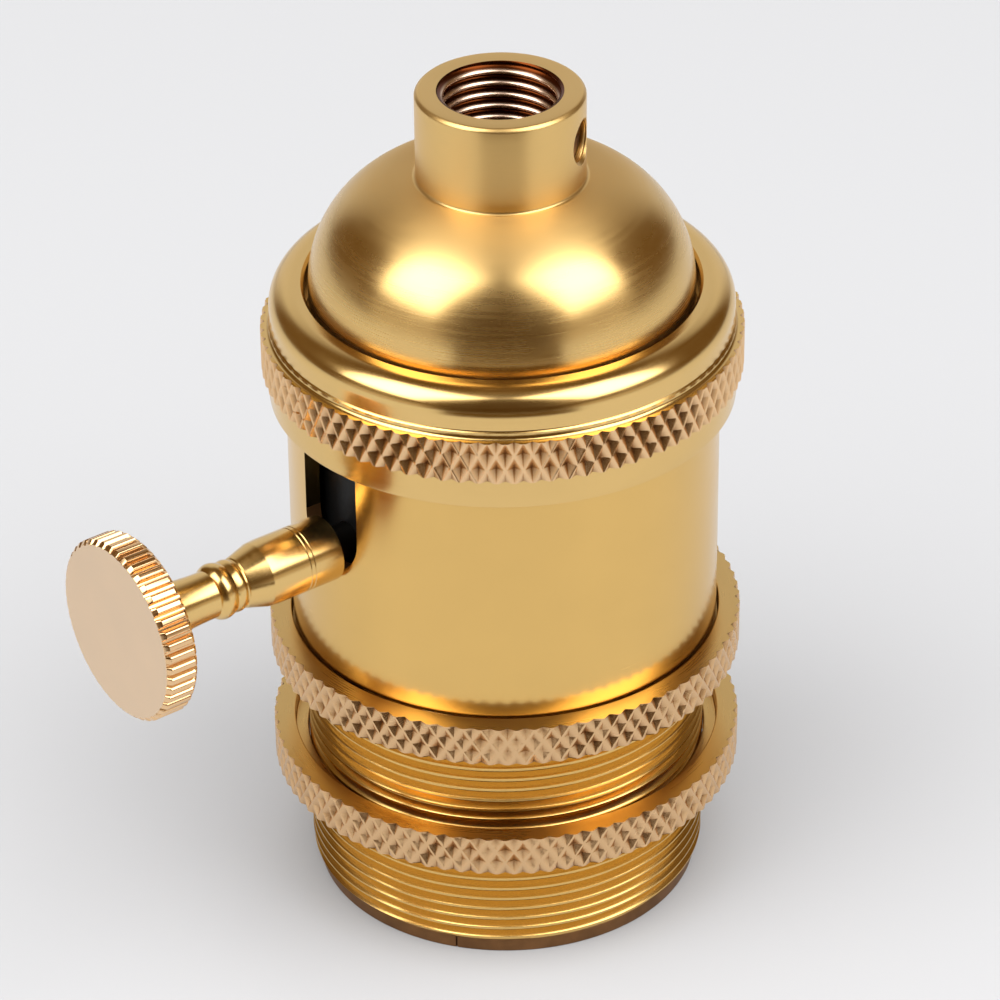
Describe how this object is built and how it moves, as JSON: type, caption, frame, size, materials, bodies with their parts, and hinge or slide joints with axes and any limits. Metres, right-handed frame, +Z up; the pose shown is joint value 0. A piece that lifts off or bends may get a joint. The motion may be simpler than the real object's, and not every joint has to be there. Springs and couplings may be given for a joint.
{
  "type": "turn knob lamp socket",
  "caption": "Brass screw-base lamp socket with a domed cap, threaded neck, knurled union ring, side turn knob and knurled shade rings on a threaded tube.",
  "frame": {"origin": "on the lamp axis, in the plane of the foot, where the lamp enters", "axes": "+Z up along the lamp axis to the neck, -X out along the knob's stem"},
  "size_m": [0.0573, 0.039, 0.0719],
  "materials": {
    "shell_brass": "polished, with turned threads",
    "cap_brass": "satin, turned",
    "union_brass": "satin, with a raw knurled band",
    "ring_brass": "satin, with a raw knurled edge",
    "knob_brass": "satin face, bright knurl and stem",
    "fitting_brass": "plain",
    "contact_bronze": "rolled",
    "black_moulding": "moulded",
    "spring_steel": "rolled",
    "plated_steel": "bright plated",
    "brown_fibre": "vulcanised fibre"
  },
  "bodies": {
    "holder": {"shell_body": "shell_brass", "cap_dome": "cap_brass", "set_screw": "fitting_brass", "index_spring": "spring_steel", "switch_body": "black_moulding", "switch_cover": "black_moulding", "line_terminal": "fitting_brass", "neutral_terminal": "fitting_brass", "binding_screws": "fitting_brass", "through_screws": "plated_steel", "clamp_nuts": "plated_steel", "screw_shell": "fitting_brass", "centre_contact": "contact_bronze", "centre_rivet": "fitting_brass", "fibre_liner": "brown_fibre"},
    "turn_knob": {"knob": "knob_brass", "switch_shaft": "fitting_brass", "switch_rotor": "black_moulding", "rotor_contact": "fitting_brass", "shaft_clip": "spring_steel"},
    "cap_ring": {"union_ring": "union_brass"},
    "upper_shade_ring": {"shade_ring_upper": "ring_brass"},
    "lower_shade_ring": {"shade_ring_lower": "ring_brass"}
  },
  "joints": [
    {"name": "knob_turn", "type": "hinge", "parent": "holder", "child": "turn_knob", "pos_m": [0, 0, 0.0366], "axis": [1, 0, 0], "continuous": true},
    {"name": "union_ring_travel", "type": "slide", "parent": "holder", "child": "cap_ring", "axis": [0, 0, 1], "range_m": [0, 0.0042]},
    {"name": "upper_ring_travel", "type": "slide", "parent": "holder", "child": "upper_shade_ring", "axis": [0, 0, 1], "range_m": [-0.0036, 0.0009]},
    {"name": "lower_ring_travel", "type": "slide", "parent": "holder", "child": "lower_shade_ring", "axis": [0, 0, 1], "range_m": [-0.009, 0.0032]}
  ]
}
